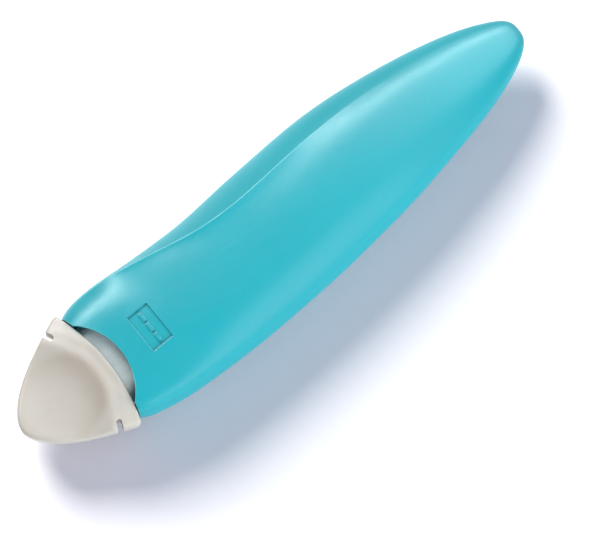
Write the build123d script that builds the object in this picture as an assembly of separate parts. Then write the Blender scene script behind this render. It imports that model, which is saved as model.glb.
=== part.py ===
from build123d import *
import math
import os

# Chalk wheel marker for dressmaking, lying on its right side with its left face up.
# x runs from the nose to the tail, y from the belly to the back, z across the tool.
# While it is built, x is zero at the corners where the cap meets the handle,
# and z is zero at mid depth. All lengths are in millimetres.

# Small values that several pieces share
overrun = 1.0
running_gap = 0.3
moulding_gap = 0.05
surface_step = 1.5

# Handle
handle_length = 119.6
back_height = 15.5
belly_height = 17.75
half_depth = 12.3
handle_wall = 1.6
crease_face_degrees = -8.0
crease_facet_degrees = 16.0
rest_land_depth = 0.2
scoop_radius = 14.6
scoop_depth = 3.6

# Place along the handle, then back, belly and half depth as shares of their largest sizes,
# how full the oval section is, how far round it the crease lies, how high the crease is
# raised as a share of the largest half depth, and how strongly it shows.
handle_station_shares = [
    (-0.0101, 0.784, 0.692, 0.724, 3.80, 0.956, 0.000, 0.00),
    (0.0025, 0.880, 0.772, 0.793, 3.80, 0.956, 0.000, 0.00),
    (0.0194, 0.933, 0.835, 0.825, 3.80, 0.956, 0.000, 0.00),
    (0.0447, 0.965, 0.882, 0.850, 3.75, 0.956, 0.015, 0.08),
    (0.0784, 0.972, 0.928, 0.880, 3.60, 0.956, 0.060, 0.30),
    (0.1374, 0.943, 0.970, 0.915, 3.30, 0.931, 0.190, 0.85),
    (0.2133, 0.911, 0.995, 0.953, 2.95, 0.843, 0.148, 1.00),
    (0.2892, 0.902, 1.000, 0.982, 2.65, 0.737, 0.128, 1.00),
    (0.3735, 0.945, 0.985, 0.998, 2.50, 0.655, 0.115, 1.00),
    (0.4663, 0.980, 0.953, 0.998, 2.40, 0.655, 0.085, 0.80),
    (0.5590, 1.000, 0.897, 0.975, 2.35, 0.668, 0.040, 0.40),
    (0.6518, 0.958, 0.824, 0.918, 2.35, 0.693, 0.005, 0.10),
    (0.7361, 0.868, 0.726, 0.824, 2.35, 0.705, 0.000, 0.00),
    (0.8120, 0.758, 0.629, 0.714, 2.35, 0.712, 0.000, 0.00),
    (0.8794, 0.626, 0.519, 0.581, 2.35, 0.710, 0.000, 0.00),
    (0.9300, 0.492, 0.408, 0.455, 2.35, 0.710, 0.000, 0.00),
    (0.9637, 0.3720, 0.3050, 0.3420, 2.35, 0.710, 0.000, 0.00),
    (0.9857, 0.2660, 0.2060, 0.2320, 2.35, 0.710, 0.000, 0.00),
    (0.9958, 0.1800, 0.1260, 0.1420, 2.35, 0.710, 0.000, 0.00),
    (0.9992, 0.1150, 0.0650, 0.0760, 2.35, 0.710, 0.000, 0.00),
]
cavity_end_share = 0.93
side_point_shares = (0.2, 0.4, 0.6, 0.8)

# Label place, a shallow recess with a raised row of stitches
label_length = 5.35
label_width = 9.2
label_depth = 0.45
label_x = 13.7
label_y = -0.2
stitch_length = 2.0
stitch_width = 0.8
stitch_gap = 0.7
stitch_count = 3
stitch_height = 0.3

# Locating pins and their sockets, moulded inside the shells
boss_radius = 2.0
pin_radius = 1.0
pin_length = 3.0
boss_place_shares = [(0.24, -0.88), (0.60, 0.62), (0.60, -0.72), (0.82, 0.04)]

# Ribs inside the handle that guide and stop the cartridge
rib_thickness = 1.4
front_rib_x = 9.0
rear_rib_setback = 6.0
plug_way_gap = 1.2

# Protective cap
cap_length = 23.79
cap_half_width = 14.95
cap_corner_half_width = 13.6
base_bulge = 2.1
cap_base_half_depth = 8.5
cap_nose_half_depth = 4.6
cap_crown = 2.5
cap_ramp_end = 19.7
cap_ramp_bow = 6.9
cap_ramp_power = 2.8
ramp_edge_share = 0.04
cap_wall = 1.2
cap_face_wall = 1.0
cap_ear_radius = 1.7
cap_edge_radius = 1.0
cap_base_trim = 0.6
cap_base_edge_radius = 0.3
cap_rest_gap = 0.25
cap_bore_half_width = 10.4
cap_side_shares = [(0.0, 0.0), (0.080, 0.275), (0.254, 0.524), (0.517, 0.759)]
cap_ear_share = 1.03
dish_depth = 1.05
dish_centre = 11.5
dish_radius = 9.2
dish_long_share = -0.070
dish_corner_share = -0.090
dish_edge_share = 0.07
slot_width = 1.3
slot_length = 2.5
slot_place_share = 0.735
slot_lean_degrees = 24.0

# Cartridge, a tank with a neck
tank_length = 42.0
tank_half_width = 11.0
tank_half_depth = 7.6
tank_corner_radius = 4.5
tank_end_radius = 0.8
tank_wall = 1.2
neck_half_width = 10.1
neck_half_depth = 6.8
neck_length = 8.0
neck_corner_radius = 4.5
neck_front_setback = 3.4

# Cartridge head, which presses into the neck and forks round the wheel
head_half_width = 9.0
head_half_depth = 5.3
head_corner_radius = 2.0
fork_root_half_width = 5.2
fork_half_width = 2.4
fork_half_depth = 2.6
fork_corner_radius = 0.8
fork_length = 8.6
fork_nose_setback = 4.4
spigot_length = 4.0
funnel_half_width = 6.0
funnel_half_depth = 3.0
funnel_end_half_width = 1.4
funnel_end_half_depth = 0.55
funnel_corner_radius = 0.5
funnel_end_corner_radius = 0.3

# Marking wheel and its axle
wheel_radius = 5.5
wheel_thickness = 1.2
wheel_tooth_depth = 0.5
wheel_tooth_count = 36
wheel_nose_gap = 1.1
wheel_side_gap = 0.12
axle_radius = 0.8
axle_end_setback = 0.1
axle_clearance = 0.04

# Filler plug
plug_radius = 5.0
plug_depth = 4.0
plug_flange_radius = 6.0
plug_flange_thickness = 1.4
plug_grip_height = 3.0
plug_grip_thickness = 1.6
plug_edge_radius = 0.4

cap_apex_x = base_bulge - cap_length
base_arc_radius = (cap_corner_half_width**2 + base_bulge**2) / (2 * base_bulge)
untrimmed_bulge = base_bulge + cap_base_trim
wheel_x = cap_apex_x + cap_wall + wheel_nose_gap + wheel_radius
neck_front_x = base_bulge - neck_front_setback
tank_front_x = neck_front_x + neck_length
tank_rear_x = tank_front_x + tank_length
rest_half_depth = half_depth - rest_land_depth
tail_x = handle_length * handle_station_shares[-1][0]


def superellipse_point(centre_y, half_width, half_height, fullness, turn):
    """Point of a full oval at an angle from the back, in degrees: cosine and sine raised to 2/fullness."""
    c = math.cos(math.radians(turn))
    s = math.sin(math.radians(turn))
    power = 2 / fullness
    y = centre_y + half_width * math.copysign(abs(c) ** power, c)
    z = half_height * math.copysign(abs(s) ** power, s)
    return y, z


def superellipse_slope(half_width, half_height, fullness, turn):
    """Slope of the same oval there, in degrees, going from the back to the belly."""
    c = math.cos(math.radians(turn))
    s = math.sin(math.radians(turn))
    power = 2 / fullness
    belly_ward = half_width * c ** (power - 1) * s
    outward = half_height * s ** (power - 1) * c
    return math.degrees(math.atan2(outward, belly_ward))


def mirrored_spline(points, slope):
    """Curve through points that mirrors about mid depth, leaving and arriving at a slope in degrees."""
    along = math.cos(math.radians(slope))
    out = math.sin(math.radians(slope))
    towards = math.copysign(1, points[-1][2] - points[0][2])
    parameters = [index / (len(points) - 1) for index in range(len(points))]
    tangents = [(0, towards * along, out), (0, -towards * along, out)]
    return Edge.make_spline(points, tangents=tangents, parameters=parameters)


def handle_section(shares, inset):
    """Closed cross-section of the handle: one curve over the back and one round both sides and the belly."""
    place, back_share, belly_share, depth_share, fullness, crease_share, lift_share, strength = shares
    x = place * handle_length
    back = back_share * back_height
    belly = belly_share * belly_height
    centre_y = (back - belly) / 2
    half_width = (back + belly) / 2 - inset
    depth = depth_share * half_depth - inset
    crease_turn = math.degrees(math.acos(crease_share ** (fullness / 2)))
    oval = (half_width, depth, fullness)

    crease_y, crease_z = superellipse_point(centre_y, *oval, crease_turn)
    upper = [(x, crease_y, crease_z + lift_share * half_depth)]
    for share in side_point_shares:
        turn = crease_turn + (180 - crease_turn) * share
        upper.append((x, *superellipse_point(centre_y, *oval, turn)))
    lower = [(x, y, -z) for x, y, z in reversed(upper)]
    belly_point = (x, centre_y - half_width, 0)
    back_point = (x, centre_y + half_width, 0)

    slope = superellipse_slope(*oval, crease_turn)
    side_slope = slope + (crease_face_degrees - slope) * strength
    facet_slope = slope + crease_facet_degrees * strength
    side = mirrored_spline([*upper, belly_point, *lower], side_slope)
    over_back = mirrored_spline([lower[-1], back_point, upper[0]], facet_slope)
    return Wire([side, over_back])


def handle_form(inset, end_share=1.0):
    """Solid handle form, drawn in by an inset all round, from ahead of the mouth to a share of its length."""
    wires = [handle_section(row, inset) for row in handle_station_shares if row[0] <= end_share]
    return Solid.make_loft(wires)


def rounded_bar(front_x, rear_x, half_width, half_depth_here, corner_radius):
    """Bar along x with a rounded rectangular section about the tool's axis."""
    section = Plane.YZ.offset(front_x) * RectangleRounded(
        2 * half_width, 2 * half_depth_here, corner_radius
    )
    return extrude(section, amount=rear_x - front_x, dir=(1, 0, 0))


def rounded_taper(*sections):
    """Straight-sided solid through rounded rectangles given as x, half width, half depth and corner."""
    faces = [
        Plane.YZ.offset(x) * RectangleRounded(2 * half_width, 2 * half_depth_here, corner_radius)
        for x, half_width, half_depth_here, corner_radius in sections
    ]
    return loft(faces, ruled=True)


def cap_envelope(gap):
    """Round-ended region ahead of the cap's base arc, drawn out by a gap."""
    height = 2 * (half_depth + overrun)
    return Pos(base_bulge - base_arc_radius, 0, 0) * Cylinder(base_arc_radius + gap, height)


def mouth_scoop():
    """Round scoop that opens the handle's two broad faces behind the cap."""
    height = 2 * (half_depth + overrun)
    return Pos(base_bulge + scoop_depth - scoop_radius, 0, 0) * Cylinder(scoop_radius, height)


def boss_places():
    """Places of the locating bosses in the mid-depth plane."""
    return [(along * handle_length, across * back_height) for along, across in boss_place_shares]


def handle_ribs():
    """Two frames that guide the cartridge and one behind it that stops it, before they meet the walls."""
    passage = rounded_bar(
        -overrun,
        tank_rear_x + running_gap,
        tank_half_width + running_gap,
        tank_half_depth + running_gap,
        tank_corner_radius + running_gap,
    )
    slab = Box(rib_thickness, 2 * (back_height + belly_height), 2 * half_depth)
    guides = [
        Pos(x, 0, 0) * slab - passage
        for x in (front_rib_x, tank_rear_x - rear_rib_setback)
    ]
    stop_x = tank_rear_x + running_gap + rib_thickness / 2
    plug_way = Rot(0, 90, 0) * Cylinder(plug_flange_radius + plug_way_gap, 2 * rib_thickness)
    return [*guides, Pos(stop_x, 0, 0) * (slab - plug_way)]


def left_half():
    """Large block on the left of mid depth."""
    length = 4 * handle_length
    return Pos(0, 0, half_depth) * Box(length, length, 2 * half_depth)


def plain_shell():
    """Left half of the handle, hollow, with its mouth, its ribs and its bosses."""
    hollow = handle_form(handle_wall, cavity_end_share) & left_half()
    hollow -= handle_ribs()
    hollow -= [Pos(x, y, 0) * Cylinder(boss_radius, 2 * half_depth) for x, y in boss_places()]
    body = handle_form(0) & left_half()
    return body - cap_envelope(cap_rest_gap) - mouth_scoop() - hollow


def label_recess():
    """Shallow pocket that follows the face, round a row of raised stitches."""
    pocket = Pos(label_x, label_y, half_depth) * Box(label_length, label_width, half_depth)
    row_step = stitch_length + stitch_gap
    first_y = label_y - row_step * (stitch_count - 1) / 2
    stitches = [
        Pos(label_x, first_y + row_step * index, half_depth)
        * Box(stitch_width, stitch_length, half_depth)
        for index in range(stitch_count)
    ]
    floor = handle_form(label_depth)
    stitch_tops = handle_form(label_depth - stitch_height)
    return pocket - floor - [stitch & stitch_tops for stitch in stitches]


def left_handle_shell(plain):
    """Upper shell with the label recess and the locating pins."""
    shell = plain - label_recess()
    for x, y in boss_places():
        shell += Pos(x, y, 0) * Cylinder(pin_radius, 2 * pin_length)
    return shell


def right_handle_shell(plain):
    """Lower shell with the pins' sockets and the flat land that the tool rests on."""
    shell = mirror(plain, about=Plane.XY)
    socket_depth = 2 * (pin_length + moulding_gap)
    for x, y in boss_places():
        shell -= Pos(x, y, 0) * Cylinder(pin_radius + moulding_gap, socket_depth)
    below = Box(2 * handle_length, 2 * handle_length, half_depth)
    return shell - Pos(0, 0, -rest_half_depth - half_depth / 2) * below


def soft_minimum(value, limit, softness):
    """Lesser of a value and a limit, eased into each other."""
    return (value + limit - math.hypot(value - limit, softness)) / 2


def cap_face_height(from_apex, across, drop):
    """Half depth of the cap's face: a ramp up to a plateau, less a crown across it and a shallow dish."""
    sideways = (across / cap_half_width) ** 2
    ramp_end = cap_ramp_end - cap_ramp_bow * sideways
    climb = max(0, soft_minimum(from_apex / ramp_end, 1, ramp_edge_share)) ** cap_ramp_power
    ramp = cap_nose_half_depth + (cap_base_half_depth - cap_nose_half_depth) * climb
    turn = math.atan2(across, from_apex - dish_centre)
    reach = math.hypot(across, from_apex - dish_centre)
    swell = 1 + dish_long_share * math.cos(2 * turn) + dish_corner_share * math.cos(3 * turn)
    outside = (reach / (dish_radius * swell)) ** 2
    dish = dish_depth * (1 - soft_minimum(outside, 1, dish_edge_share))
    return ramp - cap_crown * sideways - dish - drop


def under_cap_face(drop):
    """Solid below the cap's upper face, drawn in by a drop."""
    margin = 2 * surface_step
    columns = math.ceil((cap_length + 2 * margin) / surface_step) + 1
    rows = 2 * math.ceil((cap_half_width + margin) / surface_step) + 1
    points = []
    for column in range(columns):
        from_apex = column * surface_step - margin
        acrosses = [(row - (rows - 1) / 2) * surface_step for row in range(rows)]
        points.append(
            [
                (cap_apex_x + from_apex, across, cap_face_height(from_apex, across, drop))
                for across in acrosses
            ]
        )
    face = Face.make_surface_from_array_of_points(points, tol=moulding_gap / 5)
    return extrude(face, amount=2 * half_depth, dir=(0, 0, -1))


def cap_side_points(inset, side):
    """Points along one side edge of the cap from the apex to the ear, drawn in by an inset."""
    length = cap_length - inset
    half_width = cap_half_width - inset
    points = [
        (cap_apex_x + inset + along * length, side * across * half_width)
        for along, across in cap_side_shares
    ]
    ear_y = cap_ear_share * half_width
    ear_x = untrimmed_bulge - base_arc_radius + math.sqrt(base_arc_radius**2 - ear_y**2)
    return [*points, (ear_x, side * ear_y)]


def cap_outline():
    """Flat face with the cap's outline before its base is trimmed: bowed sides, round apex, bulging base."""
    left = cap_side_points(0, 1)
    right = cap_side_points(0, -1)
    sides = Spline(*reversed(left), *right[1:])
    base = ThreePointArc(right[-1], (untrimmed_bulge, 0), left[-1])
    outline = make_face(Wire([sides.edge(), base.edge()]))
    ears = outline.vertices().sort_by(Axis.X)[-2:]
    return fillet(ears, cap_ear_radius)


def cap_bore_outline():
    """Flat face with the outline of the cap's hollow, which runs out through the base."""
    left = cap_side_points(cap_wall, 1)
    right = cap_side_points(cap_wall, -1)
    rear_x = base_bulge + overrun
    sides = Spline(*reversed(left), *right[1:])
    rear = Polyline(right[-1], (rear_x, right[-1][1]), (rear_x, left[-1][1]), left[-1])
    outline = make_face(Wire([sides.edge(), *rear.edges()]))
    return outline & Rectangle(4 * cap_length, 2 * cap_bore_half_width)


def cap_slots():
    """One slot near each base corner, leaning in from the edge and cut right through."""
    along = cap_apex_x + slot_place_share * cap_length
    slots = []
    for side in (1, -1):
        slot = Box(slot_width, 2 * slot_length, 2 * half_depth)
        slot = Pos(0, slot_length, 0) * slot + Cylinder(slot_width / 2, 2 * half_depth)
        lean = Rot(0, 0, side * slot_lean_degrees) * (slot if side > 0 else mirror(slot, about=Plane.XZ))
        reach = cap_corner_half_width - slot_length + slot_width / 2
        slots.append(Pos(along, side * reach, 0) * lean)
    return slots


def cap_base_rim(half):
    """Edges that the trimmed base of the cap's upper half makes with its sides and its face."""
    base = half.faces().filter_by(GeomType.CYLINDER).sort_by(SortBy.AREA)[-1]
    return [edge for edge in base.edges() if edge.center().Z > moulding_gap]


def cap():
    """Protective cap with a dished grip on both faces, hollow from its base."""
    height = 2 * half_depth
    half = extrude(cap_outline(), amount=height) & under_cap_face(0)
    rims = [edge for edge in half.edges() if edge.center().Z > cap_nose_half_depth / 2 + overrun]
    half = fillet(rims, cap_edge_radius) & cap_envelope(0)
    half = fillet(cap_base_rim(half), cap_base_edge_radius)
    half -= extrude(cap_bore_outline(), amount=height) & under_cap_face(cap_face_wall)
    half -= cap_slots()
    return half + mirror(half, about=Plane.XY)


def cartridge_body():
    """Translucent tank with a neck at the nose and a filler hole at the rear."""
    tank = rounded_bar(tank_front_x, tank_rear_x, tank_half_width, tank_half_depth, tank_corner_radius)
    tank = fillet(tank.faces().sort_by(Axis.X)[0].edges(), tank_end_radius)
    tank = fillet(tank.faces().sort_by(Axis.X)[-1].edges(), tank_end_radius)
    tank += rounded_bar(
        neck_front_x, powder_front_x(), neck_half_width, neck_half_depth, neck_corner_radius
    )
    tank -= rounded_bar(
        powder_front_x(),
        tank_rear_x - tank_wall,
        tank_half_width - tank_wall,
        tank_half_depth - tank_wall,
        tank_corner_radius - tank_wall,
    )
    tank -= rounded_bar(
        neck_front_x - overrun,
        powder_front_x() + overrun,
        neck_half_width - tank_wall,
        neck_half_depth - tank_wall,
        neck_corner_radius - tank_wall,
    )
    filler = Pos(tank_rear_x, 0, 0) * Rot(0, 90, 0) * Cylinder(plug_radius + moulding_gap, 4 * tank_wall)
    return tank - filler


def powder_front_x():
    """Where the tank's inside begins, behind its front wall."""
    return tank_front_x + tank_wall


def funnel(inset):
    """Way for the powder through the head, narrowing to the wheel, drawn in by an inset."""
    return rounded_taper(
        (
            neck_front_x + spigot_length + overrun,
            funnel_half_width - inset,
            funnel_half_depth - inset,
            funnel_corner_radius,
        ),
        (
            wheel_x + wheel_radius,
            funnel_end_half_width - inset,
            funnel_end_half_depth - inset,
            funnel_end_corner_radius,
        ),
    )


def cartridge_head():
    """Head that presses into the neck, carries the powder forward and forks round the wheel."""
    nose_x = cap_apex_x + fork_nose_setback
    head = rounded_taper(
        (neck_front_x, head_half_width, head_half_depth, head_corner_radius),
        (nose_x + fork_length, fork_root_half_width, fork_half_depth, fork_corner_radius),
        (nose_x, fork_half_width, fork_half_depth, fork_corner_radius),
    )
    head += rounded_bar(
        neck_front_x,
        neck_front_x + spigot_length,
        neck_half_width - tank_wall - moulding_gap,
        neck_half_depth - tank_wall - moulding_gap,
        neck_corner_radius - tank_wall,
    )
    wheel_pocket = Cylinder(wheel_radius + running_gap, wheel_thickness + 2 * wheel_side_gap)
    axle_hole = Cylinder(axle_radius, 2 * half_depth)
    return head - funnel(0) - Pos(wheel_x, 0, 0) * (wheel_pocket + axle_hole)


def marking_wheel():
    """Toothed wheel that carries the powder to the cloth."""
    points = []
    for index in range(2 * wheel_tooth_count):
        turn = math.pi * index / wheel_tooth_count
        radius = wheel_radius - wheel_tooth_depth * (index % 2)
        points.append((radius * math.cos(turn), radius * math.sin(turn)))
    outline = make_face(Polyline(*points, close=True))
    wheel = extrude(outline, amount=wheel_thickness / 2, both=True)
    return Pos(wheel_x, 0, 0) * (wheel - Cylinder(axle_radius + axle_clearance, 2 * wheel_thickness))


def wheel_axle():
    """Steel pin through the fork, which the wheel turns on."""
    return Pos(wheel_x, 0, 0) * Cylinder(axle_radius, 2 * (fork_half_depth - axle_end_setback))


def chalk_powder():
    """Powder that fills the tank short of the plug and reaches through the head to the wheel."""
    powder = rounded_bar(
        neck_front_x + spigot_length + moulding_gap,
        tank_rear_x - plug_depth - running_gap,
        neck_half_width - tank_wall - moulding_gap,
        neck_half_depth - tank_wall - moulding_gap,
        neck_corner_radius - tank_wall,
    )
    powder += rounded_bar(
        powder_front_x() + moulding_gap,
        tank_rear_x - plug_depth - running_gap,
        tank_half_width - tank_wall - moulding_gap,
        tank_half_depth - tank_wall - moulding_gap,
        tank_corner_radius - tank_wall - moulding_gap,
    )
    wheel_room = Cylinder(wheel_radius + running_gap, 2 * half_depth)
    return powder + (funnel(moulding_gap) - Pos(wheel_x, 0, 0) * wheel_room)


def filler_plug():
    """Round stopper in the tank's rear wall, with a flange and a bar to pull it by."""
    stopper = Cylinder(plug_radius, plug_depth, align=(Align.CENTER, Align.CENTER, Align.MAX))
    flange = Cylinder(
        plug_flange_radius, plug_flange_thickness, align=(Align.CENTER, Align.CENTER, Align.MIN)
    )
    grip = Pos(0, 0, plug_flange_thickness) * Box(
        2 * plug_radius,
        plug_grip_thickness,
        plug_grip_height,
        align=(Align.CENTER, Align.CENTER, Align.MIN),
    )
    grip = fillet(grip.edges().filter_by(Axis.Y).sort_by(Axis.Z)[-2:], plug_edge_radius * 2)
    return Pos(tank_rear_x + moulding_gap, 0, 0) * Rot(0, 90, 0) * (stopper + flange + grip)


def build():
    """Every piece by name, placed with the frame's origin under the middle of the tool at its rest."""
    plain = plain_shell()
    pieces = {
        "left_handle_shell": left_handle_shell(plain),
        "right_handle_shell": right_handle_shell(plain),
        "cap": cap(),
        "cartridge_body": cartridge_body(),
        "cartridge_head": cartridge_head(),
        "marking_wheel": marking_wheel(),
        "wheel_axle": wheel_axle(),
        "chalk_powder": chalk_powder(),
        "filler_plug": filler_plug(),
    }
    place = Pos(-(cap_apex_x + tail_x) / 2, -(back_height - belly_height) / 2, rest_half_depth)
    return {name: place * piece for name, piece in pieces.items()}


if __name__ == "__main__":
    os.makedirs("parts", exist_ok=True)
    for name, piece in build().items():
        export_step(piece, f"parts/{name}.step")
        print(name, round(piece.volume, 1), piece.is_valid, len(piece.solids()))
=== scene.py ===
import math

import bpy
from bpy.props import FloatProperty, FloatVectorProperty, PointerProperty
from mathutils import Matrix, Vector


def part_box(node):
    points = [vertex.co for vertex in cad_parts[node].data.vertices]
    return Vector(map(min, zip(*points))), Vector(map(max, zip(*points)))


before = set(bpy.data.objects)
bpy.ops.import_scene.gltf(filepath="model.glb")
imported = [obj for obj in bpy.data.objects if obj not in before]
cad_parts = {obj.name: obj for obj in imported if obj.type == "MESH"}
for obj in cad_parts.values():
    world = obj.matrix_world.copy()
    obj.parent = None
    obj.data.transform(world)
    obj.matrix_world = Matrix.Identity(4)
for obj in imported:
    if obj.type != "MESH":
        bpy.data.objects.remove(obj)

# The chalk wheel marker's finishes, its floor, its lamps and its camera.
# Metres throughout, in the same frame as the solids: x from the nose to the tail,
# y from the belly to the back, z up.

bl_info = {
    "name": "Chalk wheel marker",
    "version": (1, 0, 0),
    "blender": (4, 5, 0),
    "location": "3D View > Sidebar > Marker",
    "description": "Gives the chalk wheel marker its finishes and lays it on a studio floor",
    "category": "Object",
}

TOOL_WAY = Vector((1.0, 0.0, 0.0))
UPRIGHT = Vector((0.0, 0.0, 1.0))
LEVEL_SHARES = (1.0, 1.0, 0.0)
BLACK = (0.0, 0.0, 0.0)
WHITE = (1.0, 1.0, 1.0)
WARM_WHITE = (1.0, 0.98, 0.955)
COOL_WHITE = (0.90, 0.97, 1.0)
EVEN_SPREAD = (1.0, 1.0, 1.0)
EDGE_SAMPLES = 8
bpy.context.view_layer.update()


def colour_property(name, description, default):
    """Linear colour that a user can change."""
    return FloatVectorProperty(
        name=name, description=description, default=default, size=3, min=0, max=1, subtype="COLOR"
    )


def length_property(name, description, default):
    """Length in metres that a user can change."""
    return FloatProperty(
        name=name, description=description, default=default, min=0, precision=6, unit="LENGTH"
    )


def point_property(name, description, default):
    """Point in the frame, in metres, that a user can change."""
    return FloatVectorProperty(
        name=name, description=description, default=default, subtype="XYZ", unit="LENGTH"
    )


def way_property(name, description, default):
    """Direction of any length that a user can change."""
    return FloatVectorProperty(name=name, description=description, default=default, subtype="XYZ")


def share_property(name, description, default):
    """Plain share from 0 to 1 that a user can change."""
    return FloatProperty(
        name=name, description=description, default=default, min=0, max=1, subtype="FACTOR"
    )


def angle_property(name, description, degrees):
    """Angle that a user can change, stated in degrees and kept in radians."""
    return FloatProperty(
        name=name, description=description, default=math.radians(degrees), subtype="ANGLE"
    )


def plain_property(name, description, default):
    """Lamp power or other plain number that a user can change."""
    return FloatProperty(name=name, description=description, default=default, min=0)


class HandleFinish(bpy.types.PropertyGroup):
    """Turquoise satin plastic of the two handle shells."""

    colour: colour_property("Colour", "Moulded colour of the grip", (0.0, 0.362, 0.422))
    # Edges take this paler colour as a painted highlight, in patches like rubbing.
    edge_colour: colour_property("Edge colour", "Paler colour of rubbed edges", (0.25, 0.74, 0.80))
    roughness: share_property("Roughness", "Base roughness of the satin skin", 0.42)
    bend: plain_property("Light bend", "Index of refraction, which sets the gloss", 1.38)
    edge_radius: length_property("Edge radius", "Softening of the crease and the mouth", 0.00028)
    drift_size: length_property("Drift size", "Size of the slow change of colour", 0.030)
    speckle: share_property("Speckle", "Strength of the pale speckle in the plastic", 0.12)
    grain_size: length_property("Grain size", "Size of the fine moulded grain", 0.00042)
    grain_depth: length_property("Grain depth", "Depth of the fine moulded grain", 0.0000045)
    flow_size: length_property("Flow size", "Size of the slow unevenness of the skin", 0.011)
    flow_depth: length_property("Flow depth", "Depth of the slow unevenness", 0.000018)
    scuff_size: length_property("Scuff size", "Size of the patches of uneven gloss", 0.0009)
    # Size of the patches of the painted edge highlight and rubbing.
    highlight_and_rub_size: length_property("Wear size", "Size of the patches where edges are rubbed", 0.0035)
    seam_height: length_property("Seam height", "Height of the line where the shells meet", 0.0121)
    seam_width: length_property("Seam width", "Width of the dirt along that line", 0.00024)
    # Reach of the painted shade in hollows and inner corners.
    hollow_shade_reach: length_property("Hollow reach", "How far dirt spreads from inner corners", 0.0007)
    label_centre: point_property("Label centre", "Middle of the sunk label", (-0.0352, 0.0009, 0.0222))
    # Near the label the painted edge highlight and rubbing are weakest.
    label_reach: length_property("Label reach", "Up to here from it edges are rubbed least", 0.006)
    label_margin: length_property("Label margin", "Beyond here from it they are rubbed in full", 0.011)


class CapFinish(bpy.types.PropertyGroup):
    """Cream plastic of the protective cap, which lets some light in."""

    colour: colour_property("Colour", "Cream of the cap", (0.555, 0.515, 0.450))
    # Rims take this paler colour as a painted highlight, as much as the edge strength says.
    edge_colour: colour_property("Edge colour", "Paler colour of thin rims", (0.80, 0.80, 0.78))
    edge_strength: share_property("Edge strength", "How much the thin rims pale", 0.4)
    roughness: share_property("Roughness", "Base roughness of the cap", 0.44)
    bend: plain_property("Light bend", "Index of refraction, which sets the gloss", 1.42)
    glow: share_property("Light let in", "How much light goes into the plastic", 0.35)
    glow_reach: length_property("Glow reach", "How far light spreads in the plastic", 0.0020)
    # Painted warm shade in the dishes: its colour, its middle and its reach.
    dish_shade_colour: colour_property("Thumb colour", "Tone where thumbs press the dish", (0.45, 0.375, 0.30))
    dish_shade_centre: point_property("Thumb centre", "Middle of the two dishes", (-0.0591, 0.0011, 0.0121))
    dish_shade_reach: length_property("Thumb reach", "From the dish's middle to its edge", 0.0099)
    edge_radius: length_property("Edge radius", "Softening of the rims", 0.00025)
    cloud_size: length_property("Cloud size", "Size of the clouds of tone", 0.009)
    gloss_size: length_property("Gloss size", "Size of the patches of uneven gloss", 0.0016)
    flow_size: length_property("Flow size", "Size of the slow unevenness of the skin", 0.006)
    flow_depth: length_property("Flow depth", "Depth of the slow unevenness", 0.000015)
    grain_size: length_property("Grain size", "Size of the fine moulded grain", 0.00060)
    grain_depth: length_property("Grain depth", "Depth of the fine moulded grain", 0.000005)


class TankFinish(bpy.types.PropertyGroup):
    """Frosted plastic of the cartridge's tank."""

    colour: colour_property("Colour", "Colour of the frosted plastic", (0.62, 0.71, 0.70))
    clearness: share_property("Clearness", "How much light passes the plastic", 0.20)
    roughness: share_property("Roughness", "Base roughness of the frosting", 0.42)
    bend: plain_property("Light bend", "Index of refraction", 1.42)
    glow: share_property("Light let in", "How much light goes into the plastic", 0.8)
    glow_reach: length_property("Glow reach", "How far light spreads in the plastic", 0.004)
    edge_radius: length_property("Edge radius", "Softening of the edges", 0.0002)
    flow_size: length_property("Flow size", "Width of the flow marks along the tank", 0.004)
    gloss_size: length_property("Gloss size", "Size of the patches of uneven gloss", 0.0010)
    sparkle: share_property("Sparkle", "Strength of the pale grain", 0.3)
    grain_size: length_property("Grain size", "Size of the frosting's grain", 0.00050)
    grain_depth: length_property("Grain depth", "Depth of the frosting's grain", 0.000012)


class HeadFinish(bpy.types.PropertyGroup):
    """Hard white plastic of the cartridge's head."""

    colour: colour_property("Colour", "Colour of the head", (0.74, 0.75, 0.74))
    glow: share_property("Light let in", "How much light goes into the plastic", 0.15)
    glow_reach: length_property("Glow reach", "How far light spreads in the plastic", 0.001)
    edge_radius: length_property("Edge radius", "Softening of the edges", 0.00015)
    cloud_size: length_property("Cloud size", "Size of the clouds of tone", 0.006)
    gloss_size: length_property("Gloss size", "Size of the patches of uneven gloss", 0.0009)
    grain_size: length_property("Grain size", "Size of the fine grain", 0.00045)
    grain_depth: length_property("Grain depth", "Depth of the fine grain", 0.000006)


class PowderFinish(bpy.types.PropertyGroup):
    """Chalk powder in the tank."""

    colour: colour_property("Colour", "Colour of the powder", (0.86, 0.87, 0.87))
    clump_size: length_property("Clump size", "Size of the clumps", 0.0016)
    clump_depth: length_property("Clump depth", "Depth between the clumps", 0.00015)
    grain_size: length_property("Grain size", "Size of the grains", 0.00035)
    grain_depth: length_property("Grain depth", "Depth between the grains", 0.00004)


class PlugFinish(bpy.types.PropertyGroup):
    """Soft rubber of the filler plug."""

    colour: colour_property("Colour", "Colour of the plug", (0.50, 0.52, 0.52))
    edge_radius: length_property("Edge radius", "Softening of the edges", 0.0002)
    bloom_size: length_property("Bloom size", "Size of the bloom's patches", 0.0025)
    pit_size: length_property("Pit size", "Size of the fine pits", 0.0004)
    pit_depth: length_property("Pit depth", "Depth of the fine pits", 0.00001)


class MetalFinish(bpy.types.PropertyGroup):
    """Brass marking wheel and steel axle."""

    brass_colour: colour_property("Brass", "Colour of the wheel", (0.78, 0.57, 0.26))
    steel_colour: colour_property("Steel", "Colour of the axle", (0.58, 0.58, 0.59))
    roughness: share_property("Roughness", "Base roughness of both metals", 0.30)
    dull_size: length_property("Dull size", "Size of the dull spots", 0.0012)
    line_size: length_property("Line size", "Spacing of the turning lines", 0.00012)
    line_depth: length_property("Line depth", "Depth of the turning lines", 0.000002)
    edge_radius: length_property("Edge radius", "Softening of the teeth", 0.00006)


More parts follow.
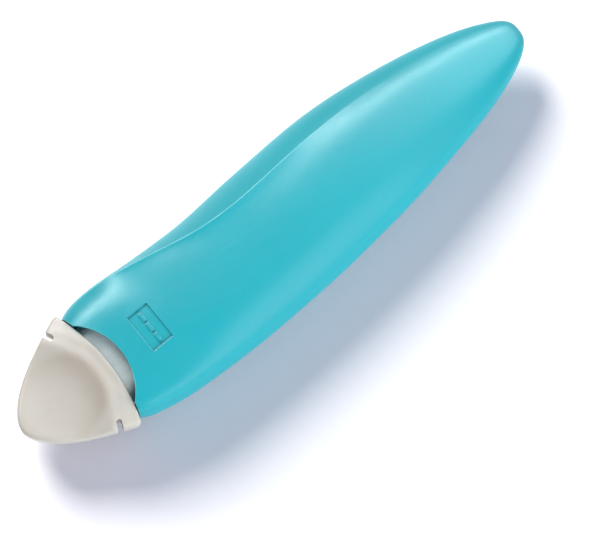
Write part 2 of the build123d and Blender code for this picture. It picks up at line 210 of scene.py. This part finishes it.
class StudioSettings(bpy.types.PropertyGroup):
    """Floor, lamps and camera."""

    floor_colour: colour_property("Floor", "Colour of the floor", (0.95, 0.95, 0.95))
    floor_lift: colour_property("Floor lift", "Glow that lifts the lit floor", (0.235, 0.235, 0.28))
    floor_reach: length_property("Floor reach", "Half the floor's width", 1.5)
    shadow_reach: length_property("Shadow reach", "How far out the floor still takes shadows", 0.14)
    white_reach: length_property("White reach", "How far out the floor is plain white", 0.30)
    sky_colour: colour_property("Surround", "Soft light from all round", (0.22, 0.23, 0.29))
    target: point_property("Target", "Point that camera and lamps face", (-0.0010, -0.0095, 0.0121))
    key_power: plain_property("Key power", "Watts of the round main lamp", 3.1)
    key_size: length_property("Key size", "Width of the round main lamp", 0.35)
    key_distance: length_property("Key distance", "How far off the main lamp hangs", 0.65)
    key_way: way_property(
        "Key way", "Way to the main lamp, as the picture's right, its up and upright", (-0.58, 0.81, 0.80)
    )
    floor_power: plain_property("Floor power", "Watts of its twin, which lights the floor alone", 3.3)
    fill_power: plain_property("Fill power", "Watts of the cool lamp on the belly's side", 5.0)
    fill_length: length_property("Fill length", "Length of the cool lamp, along the tool", 0.60)
    fill_width: length_property("Fill width", "Width of the cool lamp", 0.64)
    fill_way: way_property("Fill way", "Way to the cool lamp", (0.0, -0.87, 0.49))
    sheen_power: plain_property("Sheen power", "Watts of the strip that only gloss shows", 20.0)
    sheen_length: length_property("Sheen length", "Length of the strip, along the tool", 1.70)
    sheen_width: length_property("Sheen width", "Width of the strip", 0.19)
    sheen_way: way_property("Sheen way", "Way to the strip, on the back's side", (0.15, 0.73, 0.66))
    tail_power: plain_property("Tail power", "Watts of the disk that only gloss shows", 7.0)
    tail_size: length_property("Tail size", "Width of the disk past the tail", 0.70)
    tail_way: way_property("Tail way", "Way to the disk", (0.90, 0.12, 0.66))
    side_distance: length_property("Side distance", "How far off all but the main lamp hang", 0.6)
    camera_distance: length_property("Camera distance", "From the camera to the tool", 0.8)
    picture_width: length_property("Picture width", "Width of the view at the tool", 0.13188)
    tool_turn: angle_property("Tool turn", "Rise of the tool across the picture", 39.35)
    nose_lean: angle_property("Nose lean", "How far the camera leans to the nose", 6.0)
    belly_lean: angle_property("Belly lean", "How far the camera leans to the belly", 2.5)


class MarkerSettings(bpy.types.PropertyGroup):
    """Every setting of the marker, by group."""

    handle: PointerProperty(type=HandleFinish, name="Handle")
    cap: PointerProperty(type=CapFinish, name="Cap")
    tank: PointerProperty(type=TankFinish, name="Tank")
    head: PointerProperty(type=HeadFinish, name="Head")
    powder: PointerProperty(type=PowderFinish, name="Powder")
    plug: PointerProperty(type=PlugFinish, name="Plug")
    metal: PointerProperty(type=MetalFinish, name="Metal")
    studio: PointerProperty(type=StudioSettings, name="Studio")


class Recipe:
    """A material under way: nodes are added one by one and joined to its main shader."""

    def __init__(self, name):
        self.material = bpy.data.materials.new(name)
        self.material.use_nodes = True
        self.tree = self.material.node_tree
        self.shader = self.tree.nodes["Principled BSDF"]
        self.place = self.add("ShaderNodeTexCoord").outputs["Object"]

    def feed(self, socket, value):
        """Joins another node's output to a socket, or sets the socket to a plain value."""
        if isinstance(value, bpy.types.NodeSocket):
            self.tree.links.new(value, socket)
        else:
            socket.default_value = value

    def add(self, kind, inputs=None, **settings):
        """New node with its settings and its inputs."""
        node = self.tree.nodes.new(kind)
        for name, value in settings.items():
            setattr(node, name, value)
        for key, value in (inputs or {}).items():
            self.feed(node.inputs[key], value)
        return node

    def finish(self, **inputs):
        """Sets the main shader's inputs, named with underscores for spaces."""
        for name, value in inputs.items():
            self.feed(self.shader.inputs[name.replace("_", " ")], value)
        return self.material

    def noise(self, size, detail=2.0, stretch=(1, 1, 1)):
        """Soft random pattern with lumps of a size in metres, longer along an axis by its stretch."""
        scale = tuple(1 / (size * share) for share in stretch)
        place = self.add("ShaderNodeMapping", {"Vector": self.place, "Scale": scale}).outputs[0]
        inputs = {"Vector": place, "Scale": 1.0, "Detail": detail}
        return self.add("ShaderNodeTexNoise", inputs).outputs[0]

    def spread(self, value, low, high, start=0.3, end=0.7):
        """Carries a pattern from the range between start and end to that between low and high."""
        inputs = {"Value": value, "From Min": start, "From Max": end, "To Min": low, "To Max": high}
        return self.add("ShaderNodeMapRange", inputs).outputs[0]

    def lumps(self, size, detail=2.0, stretch=(1, 1, 1)):
        """Soft random pattern that reaches a full 0 and a full 1."""
        return self.spread(self.noise(size, detail, stretch), low=0.0, high=1.0)

    def uneven(self, pattern, roughness, smoother, rougher):
        """Roughness that drifts with a pattern, by two steps from its base."""
        return self.spread(pattern, low=roughness - smoother, high=roughness + rougher)

    def mix(self, factor, first, second):
        """Colour between two colours or colour outputs."""
        node = self.add("ShaderNodeMix", data_type="RGBA")
        self.feed(node.inputs[0], factor)
        for socket, colour in ((node.inputs[6], first), (node.inputs[7], second)):
            plain = not isinstance(colour, bpy.types.NodeSocket)
            self.feed(socket, (*colour, 1.0) if plain else colour)
        return node.outputs[2]

    def tinted(self, pattern, colour, darkest, palest):
        """Colour that drifts with a pattern between two factors of itself."""
        return self.mix(pattern, shade(colour, darkest), shade(colour, palest))

    def calculate(self, operation, first, second=0.0):
        """Result of one sum on numbers or outputs."""
        return self.add("ShaderNodeMath", {0: first, 1: second}, operation=operation).outputs[0]

    def vector(self, operation, first, second):
        """Vector that one sum makes of two vectors or outputs."""
        return self.add("ShaderNodeVectorMath", {0: first, 1: second}, operation=operation).outputs[0]

    def measure(self, operation, *vectors):
        """Number that one sum makes of vectors or outputs."""
        inputs = dict(enumerate(vectors))
        return self.add("ShaderNodeVectorMath", inputs, operation=operation).outputs["Value"]

    def level_length(self, vector):
        """Length of a vector as seen from above."""
        return self.measure("LENGTH", self.vector("MULTIPLY", vector, LEVEL_SHARES))

    def coordinate(self, vector, axis):
        """One coordinate of a vector."""
        return self.add("ShaderNodeSeparateXYZ", {0: vector}).outputs[axis]

    def rounded(self, radius):
        """Surface direction as if every edge had a small round."""
        return self.add("ShaderNodeBevel", {"Radius": radius}, samples=EDGE_SAMPLES).outputs[0]

    def edges(self, rounded):
        """1 on edges and 0 on open surfaces, from how far the rounded direction leaves the plain one."""
        plain = self.add("ShaderNodeNewGeometry").outputs["Normal"]
        agreement = self.measure("DOT_PRODUCT", rounded, plain)
        return self.spread(agreement, low=1.0, high=0.0, start=0.97, end=0.9995)

    def openness(self, reach):
        """1 on open surfaces and less in hollows narrower than a reach in metres."""
        inputs = {"Distance": reach}
        node = self.add("ShaderNodeAmbientOcclusion", inputs, samples=EDGE_SAMPLES, only_local=True)
        return node.outputs["AO"]

    def relief(self, height, depth, normal=None):
        """Surface direction over a pattern taken as a relief of a depth in metres."""
        inputs = {"Height": height, "Distance": depth, "Strength": 1.0}
        if normal is not None:
            inputs["Normal"] = normal
        return self.add("ShaderNodeBump", inputs).outputs[0]

    def skin(self, settings, rounded):
        """Fine grain over a slow unevenness."""
        slow = self.relief(self.noise(settings.flow_size, detail=1.0), settings.flow_depth, rounded)
        return self.relief(self.noise(settings.grain_size), settings.grain_depth, slow)


def shade(colour, factor):
    """Colour made darker or lighter by a factor."""
    return tuple(min(1.0, part * factor) for part in colour)


def node_material(node, material):
    """Puts a finish on a node of the solids."""
    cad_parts[node].material_slots[0].material = material


def seam_distance(recipe, settings):
    """Height above or below the line where the two shells meet."""
    height = recipe.coordinate(recipe.place, "Z")
    return recipe.calculate("ABSOLUTE", recipe.calculate("SUBTRACT", height, settings.seam_height))


def highlight_and_rub_patches(recipe, settings, from_seam):
    """Where the edges are painted paler, as a highlight and as rubbing by hands: in patches, less at the
    label and not along the seam.
    """
    patches = recipe.spread(recipe.noise(settings.highlight_and_rub_size, detail=3.0), low=0.55, high=0.95)
    from_label = recipe.measure("DISTANCE", recipe.place, settings.label_centre)
    off_label = recipe.spread(
        from_label, low=0.1, high=1.0, start=settings.label_reach, end=settings.label_margin
    )
    off_seam = recipe.spread(
        from_seam, low=0.0, high=1.0, start=1.5 * settings.seam_width, end=4 * settings.seam_width
    )
    return recipe.calculate("MULTIPLY", recipe.calculate("MULTIPLY", patches, off_label), off_seam)


def handle_colour(recipe, settings, rounded):
    """Drifting, speckled turquoise with dirt at the seam, painted shade in hollows, and edges painted pale
    as a highlight in patches like rubbing.
    """
    plain = settings.colour
    speckle_colour = shade(plain, 1.35)
    seam_colour = shade(plain, 0.5)
    hollow_shade_colour = shade(plain, 0.45)
    drift = recipe.lumps(settings.drift_size, detail=1.0)
    colour = recipe.tinted(drift, plain, darkest=0.96, palest=1.04)
    speckle = recipe.calculate("MULTIPLY", recipe.lumps(settings.grain_size), settings.speckle)
    colour = recipe.mix(speckle, colour, speckle_colour)
    from_seam = seam_distance(recipe, settings)
    seam_dirt = recipe.spread(
        from_seam, low=0.45, high=0.0, start=settings.seam_width / 4, end=settings.seam_width / 2
    )
    colour = recipe.mix(seam_dirt, colour, seam_colour)
    highlight_and_rub = highlight_and_rub_patches(recipe, settings, from_seam)
    # Painted highlight along the crease, the mouth and other edges, in patches like rubbing.
    rubbed = recipe.calculate("MULTIPLY", recipe.edges(rounded), highlight_and_rub)
    colour = recipe.mix(rubbed, colour, settings.edge_colour[:])
    # Painted shade: darker in hollows narrower than the reach, such as the label's recess, the mouth's gap
    # and the seam.
    openness = recipe.openness(settings.hollow_shade_reach)
    hollow_painted_shade = recipe.spread(openness, low=0.6, high=0.0, start=0.35, end=0.95)
    return recipe.mix(hollow_painted_shade, colour, hollow_shade_colour)


def handle_plastic(settings):
    """Satin turquoise with a fine grain and an uneven gloss."""
    recipe = Recipe("handle_plastic")
    rounded = recipe.rounded(settings.edge_radius)
    scuffs = recipe.noise(settings.scuff_size, detail=3.0, stretch=(2.5, 1.2, 1.2))
    return recipe.finish(
        Base_Color=handle_colour(recipe, settings, rounded),
        Roughness=recipe.uneven(scuffs, settings.roughness, smoother=0.03, rougher=0.04),
        Normal=recipe.skin(settings, rounded),
        IOR=settings.bend,
    )


def dish_painted_shade(recipe, settings):
    """Painted warm shade on the dish: a ring inside its edge, strongest on the side of the base."""
    away = recipe.vector("SUBTRACT", recipe.place, settings.dish_shade_centre)
    distance = recipe.level_length(away)
    baseward = recipe.coordinate(away, "X")
    reach = settings.dish_shade_reach
    rise = recipe.spread(distance, low=0.0, high=1.0, start=0.20 * reach, end=0.85 * reach)
    fall = recipe.spread(distance, low=1.0, high=0.0, start=0.85 * reach, end=1.05 * reach)
    side = recipe.spread(baseward, low=0.0, high=0.75, start=-0.5 * reach, end=0.75 * reach)
    return recipe.calculate("MULTIPLY", recipe.calculate("MULTIPLY", rise, fall), side)


def cap_plastic(settings):
    """Milky cream: cloudy tone, light let in, soft grain, painted warm shade in the dishes and a painted
    highlight along the rims.
    """
    recipe = Recipe("cap_plastic")
    cloud = recipe.lumps(settings.cloud_size)
    colour = recipe.tinted(cloud, settings.colour, darkest=0.97, palest=1.03)
    # Painted warm shade on the dish's wall on the side of the base.
    colour = recipe.mix(dish_painted_shade(recipe, settings), colour, settings.dish_shade_colour[:])
    rounded = recipe.rounded(settings.edge_radius)
    # Painted highlight along the rims.
    thin = recipe.calculate("MULTIPLY", recipe.edges(rounded), settings.edge_strength)
    gloss = recipe.noise(settings.gloss_size, detail=3.0)
    recipe.shader.subsurface_method = "RANDOM_WALK"
    return recipe.finish(
        Base_Color=recipe.mix(thin, colour, settings.edge_colour[:]),
        Roughness=recipe.uneven(gloss, settings.roughness, smoother=0.05, rougher=0.06),
        Normal=recipe.skin(settings, rounded),
        Subsurface_Weight=settings.glow,
        Subsurface_Radius=(1.0, 0.86, 0.68),
        Subsurface_Scale=settings.glow_reach,
        IOR=settings.bend,
    )


def frosted_plastic(settings):
    """Frosted tank: part clear, part milky, with a sparkling grain and flow marks along it."""
    recipe = Recipe("frosted_plastic")
    flow = recipe.lumps(settings.flow_size, stretch=(4, 1, 1))
    colour = recipe.tinted(flow, settings.colour, darkest=0.94, palest=1.06)
    sparkle_colour = shade(settings.colour, 1.4)
    sparkle = recipe.calculate("MULTIPLY", recipe.lumps(settings.grain_size), settings.sparkle)
    gloss = recipe.noise(settings.gloss_size, detail=3.0)
    grain = recipe.noise(settings.grain_size)
    return recipe.finish(
        Base_Color=recipe.mix(sparkle, colour, sparkle_colour),
        Roughness=recipe.uneven(gloss, settings.roughness, smoother=0.06, rougher=0.08),
        Normal=recipe.relief(grain, settings.grain_depth, recipe.rounded(settings.edge_radius)),
        Transmission_Weight=settings.clearness,
        Subsurface_Weight=settings.glow,
        Subsurface_Radius=EVEN_SPREAD,
        Subsurface_Scale=settings.glow_reach,
        IOR=settings.bend,
    )


def head_plastic(settings):
    """Hard white plastic of the cartridge head, with a fine matt grain."""
    recipe = Recipe("head_plastic")
    cloud = recipe.lumps(settings.cloud_size)
    colour = recipe.tinted(cloud, settings.colour, darkest=0.96, palest=1.03)
    edge_colour = shade(settings.colour, 1.12)
    rounded = recipe.rounded(settings.edge_radius)
    return recipe.finish(
        Base_Color=recipe.mix(recipe.edges(rounded), colour, edge_colour),
        Roughness=recipe.spread(recipe.noise(settings.gloss_size, detail=3.0), low=0.44, high=0.58),
        Normal=recipe.relief(recipe.noise(settings.grain_size), settings.grain_depth, rounded),
        Subsurface_Weight=settings.glow,
        Subsurface_Radius=EVEN_SPREAD,
        Subsurface_Scale=settings.glow_reach,
    )


def chalk_powder(settings):
    """Loose powder: dead matt, clumped, with painted shade in the hollows between the clumps."""
    recipe = Recipe("chalk")
    clumps = recipe.noise(settings.clump_size, detail=5.0)
    pattern = recipe.spread(clumps, low=0.0, high=1.0)
    coarse = recipe.relief(clumps, settings.clump_depth)
    return recipe.finish(
        # Painted shade: the powder is darker where the clumps' relief is low.
        Base_Color=recipe.tinted(pattern, settings.colour, darkest=0.82, palest=1.0),
        Roughness=recipe.spread(clumps, low=0.92, high=1.0),
        Normal=recipe.relief(recipe.noise(settings.grain_size, detail=4.0), settings.grain_depth, coarse),
        Specular_IOR_Level=0.15,
        Sheen_Weight=0.25,
        Sheen_Roughness=0.6,
    )


def plug_rubber(settings):
    """Soft grey rubber with a bloom on its skin and fine pits."""
    recipe = Recipe("plug_rubber")
    bloom = recipe.lumps(settings.bloom_size, detail=3.0)
    colour = recipe.tinted(bloom, settings.colour, darkest=0.92, palest=1.1)
    edge_colour = shade(settings.colour, 1.2)
    rounded = recipe.rounded(settings.edge_radius)
    return recipe.finish(
        Base_Color=recipe.mix(recipe.edges(rounded), colour, edge_colour),
        Roughness=recipe.spread(bloom, low=0.62, high=0.78),
        Normal=recipe.relief(recipe.noise(settings.pit_size, detail=3.0), settings.pit_depth, rounded),
    )


def turned_metal(name, colour, settings):
    """Turned metal: lines in rings about the axle, uneven gloss, brighter rubbed edges and dull spots."""
    recipe = Recipe(name)
    low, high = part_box("wheel_axle")
    from_axle = recipe.level_length(recipe.vector("SUBTRACT", recipe.place, (low + high) / 2))
    turns = recipe.calculate("MULTIPLY", from_axle, 2 * math.pi / settings.line_size)
    lines = recipe.calculate("SINE", turns)
    dull = recipe.lumps(settings.dull_size, detail=3.0)
    tone = recipe.tinted(dull, colour, darkest=0.88, palest=1.06)
    edge_colour = shade(colour, 1.22)
    rounded = recipe.rounded(settings.edge_radius)
    return recipe.finish(
        Base_Color=recipe.mix(recipe.edges(rounded), tone, edge_colour),
        Metallic=1.0,
        Roughness=recipe.spread(dull, low=settings.roughness + 0.08, high=settings.roughness - 0.04),
        Normal=recipe.relief(lines, settings.line_depth, rounded),
    )


def floor_material(settings):
    """Pale paper floor that takes the shadow near the tool and shows plain white farther out."""
    recipe = Recipe("studio_floor")
    rays = recipe.add("ShaderNodeLightPath").outputs
    seen = recipe.calculate("MAXIMUM", rays["Is Camera Ray"], rays["Is Glossy Ray"])
    seen = recipe.calculate("MAXIMUM", seen, rays["Is Transmission Ray"])
    distance = recipe.measure("LENGTH", recipe.place)
    far = recipe.spread(
        distance, low=0.0, high=1.0, start=settings.shadow_reach, end=settings.white_reach
    )
    return recipe.finish(
        Base_Color=recipe.mix(far, settings.floor_colour[:], BLACK),
        Roughness=1.0,
        Specular_IOR_Level=0.0,
        Emission_Color=recipe.mix(far, settings.floor_lift[:], WHITE),
        Emission_Strength=seen,
    )


def surround(settings):
    """Soft light from all round, which the camera, glossy surfaces and clear ones see as white."""
    world = bpy.data.worlds.new("surround")
    world.use_nodes = True
    tree = world.node_tree
    soft = tree.nodes["Background"]
    soft.inputs["Color"].default_value = (*settings.sky_colour, 1.0)
    white = tree.nodes.new("ShaderNodeBackground")
    white.inputs["Color"].default_value = (*WHITE, 1.0)
    rays = tree.nodes.new("ShaderNodeLightPath")
    choice = tree.nodes.new("ShaderNodeMixShader")
    seen = rays.outputs["Is Camera Ray"]
    for ray in ("Is Glossy Ray", "Is Transmission Ray"):
        either = tree.nodes.new("ShaderNodeMath")
        either.operation = "MAXIMUM"
        tree.links.new(seen, either.inputs[0])
        tree.links.new(rays.outputs[ray], either.inputs[1])
        seen = either.outputs[0]
    tree.links.new(seen, choice.inputs[0])
    tree.links.new(soft.outputs[0], choice.inputs[1])
    tree.links.new(white.outputs[0], choice.inputs[2])
    tree.links.new(choice.outputs[0], tree.nodes["World Output"].inputs["Surface"])
    bpy.context.scene.world = world


def lay_floor(settings):
    """Square floor at the height the tool rests on."""
    reach = settings.floor_reach
    corners = [(-reach, -reach, 0.0), (reach, -reach, 0.0), (reach, reach, 0.0), (-reach, reach, 0.0)]
    mesh = bpy.data.meshes.new("floor")
    mesh.from_pydata(corners, [], [(0, 1, 2, 3)])
    mesh.materials.append(floor_material(settings))
    floor = bpy.data.objects.new("floor", mesh)
    bpy.context.scene.collection.objects.link(floor)
    return floor


def photograph_axes(settings):
    """The picture's right, its up and the way to the camera, from the tool's turn and two leans."""
    lean = Vector((-math.sin(settings.nose_lean), -math.sin(settings.belly_lean), 1.0)).normalized()
    up = Vector((math.sin(settings.tool_turn), math.cos(settings.tool_turn), 0.0))
    up = (up - up.dot(lean) * lean).normalized()
    return up.cross(lean), up, lean


def looking_down(position, right, up, back):
    """Placing that looks along the reverse of back, with a chosen right and up."""
    return Matrix.Translation(position) @ Matrix((right, up, back)).transposed().to_4x4()


def lamp(name, size, power, colour, target, way, distance):
    """Soft lamp at a distance from the tool, facing it: round for one size, long along the tool for two."""
    light = bpy.data.lights.new(name, "AREA")
    light.size = size[0]
    light.shape = "DISK"
    if len(size) > 1:
        light.shape = "RECTANGLE"
        light.size_y = size[1]
    light.energy = power
    light.color = colour
    back = way.normalized()
    right = (TOOL_WAY - TOOL_WAY.dot(back) * back).normalized()
    lamp_object = bpy.data.objects.new(name, light)
    bpy.context.scene.collection.objects.link(lamp_object)
    place = target + distance * back
    lamp_object.matrix_world = looking_down(place, right, back.cross(right), back)
    return lamp_object


def flag(lamp_object, thing, state):
    """Keeps a lamp's light off one object, or on it alone, as flags do in a studio."""
    flagged = bpy.data.collections.new(lamp_object.name + "_flag")
    flagged.objects.link(thing)
    flagged.collection_objects[0].light_linking.link_state = state
    lamp_object.light_linking.receiver_collection = flagged


def hang_main_lamps(settings, floor):
    """Round main lamp, and its twin that lights the floor alone."""
    right, up = photograph_axes(settings)[:2]
    rightward, upward, upright = settings.key_way
    way = rightward * right + upward * up + upright * UPRIGHT
    size = (settings.key_size,)
    place = (settings.target, way, settings.key_distance)
    lamp("key", size, settings.key_power, WARM_WHITE, *place)
    twin = lamp("floor_key", size, settings.floor_power, WARM_WHITE, *place)
    flag(twin, floor, "INCLUDE")


def hang_side_lamps(settings, floor):
    """Cool fill, and the two lamps that only gloss shows, all kept off the floor."""
    fill_size = (settings.fill_length, settings.fill_width)
    sheen_size = (settings.sheen_length, settings.sheen_width)
    tail_size = (settings.tail_size,)
    rows = (
        ("fill", fill_size, settings.fill_power, COOL_WHITE, settings.fill_way),
        ("sheen", sheen_size, settings.sheen_power, WHITE, settings.sheen_way),
        ("tail", tail_size, settings.tail_power, WHITE, settings.tail_way),
    )
    for name, size, power, colour, way in rows:
        side = lamp(name, size, power, colour, settings.target, way, settings.side_distance)
        side.visible_diffuse = name == "fill"
        flag(side, floor, "EXCLUDE")


def set_camera(settings):
    """Camera at the photograph's angle."""
    right, up, lean = photograph_axes(settings)
    camera = bpy.data.cameras.new("camera")
    camera.lens = camera.sensor_width * settings.camera_distance / settings.picture_width
    camera_object = bpy.data.objects.new("camera", camera)
    bpy.context.scene.collection.objects.link(camera_object)
    place = settings.target + settings.camera_distance * lean
    camera_object.matrix_world = looking_down(place, right, up, lean)
    bpy.context.scene.camera = camera_object


class DressHandle(bpy.types.Operator):
    """Give the two handle shells their satin turquoise plastic"""

    bl_idname = "marker.dress_handle"
    bl_label = "Handle"

    def execute(self, context):
        material = handle_plastic(context.scene.marker.handle)
        for node in ("left_handle_shell", "right_handle_shell"):
            node_material(node, material)
        return {"FINISHED"}


class DressCap(bpy.types.Operator):
    """Give the protective cap its milky cream plastic"""

    bl_idname = "marker.dress_cap"
    bl_label = "Cap"

    def execute(self, context):
        node_material("cap", cap_plastic(context.scene.marker.cap))
        return {"FINISHED"}


class DressCartridge(bpy.types.Operator):
    """Give the tank, its head, its powder and its plug their finishes"""

    bl_idname = "marker.dress_cartridge"
    bl_label = "Cartridge"

    def execute(self, context):
        settings = context.scene.marker
        node_material("cartridge_body", frosted_plastic(settings.tank))
        node_material("cartridge_head", head_plastic(settings.head))
        node_material("chalk_powder", chalk_powder(settings.powder))
        node_material("filler_plug", plug_rubber(settings.plug))
        return {"FINISHED"}


class DressMetal(bpy.types.Operator):
    """Give the marking wheel its brass and the axle its steel"""

    bl_idname = "marker.dress_metal"
    bl_label = "Wheel and axle"

    def execute(self, context):
        settings = context.scene.marker.metal
        node_material("marking_wheel", turned_metal("wheel_brass", settings.brass_colour[:], settings))
        node_material("wheel_axle", turned_metal("axle_steel", settings.steel_colour[:], settings))
        return {"FINISHED"}


class BuildStudio(bpy.types.Operator):
    """Lay the floor, hang the lamps and set up the camera"""

    bl_idname = "marker.build_studio"
    bl_label = "Studio"

    def execute(self, context):
        settings = context.scene.marker.studio
        context.scene.view_settings.view_transform = "Standard"
        floor = lay_floor(settings)
        surround(settings)
        hang_main_lamps(settings, floor)
        hang_side_lamps(settings, floor)
        set_camera(settings)
        return {"FINISHED"}


class MarkerPanel(bpy.types.Panel):
    """Sidebar panel that lists the marker's operators"""

    bl_idname = "VIEW3D_PT_marker"
    bl_label = "Chalk wheel marker"
    bl_space_type = "VIEW_3D"
    bl_region_type = "UI"
    bl_category = "Marker"

    def draw(self, context):
        for operator in OPERATORS:
            self.layout.operator(operator.bl_idname)


FINISHES = (HandleFinish, CapFinish, TankFinish, HeadFinish, PowderFinish, PlugFinish, MetalFinish)
OPERATORS = (DressHandle, DressCap, DressCartridge, DressMetal, BuildStudio)
CLASSES = (*FINISHES, StudioSettings, MarkerSettings, *OPERATORS, MarkerPanel)


def register():
    for one in CLASSES:
        bpy.utils.register_class(one)
    bpy.types.Scene.marker = PointerProperty(type=MarkerSettings)


def unregister():
    del bpy.types.Scene.marker
    for one in reversed(CLASSES):
        bpy.utils.unregister_class(one)


def main():
    """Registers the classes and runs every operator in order."""
    register()
    bpy.ops.marker.dress_handle()
    bpy.ops.marker.dress_cap()
    bpy.ops.marker.dress_cartridge()
    bpy.ops.marker.dress_metal()
    bpy.ops.marker.build_studio()


if __name__ == "__main__":
    main()
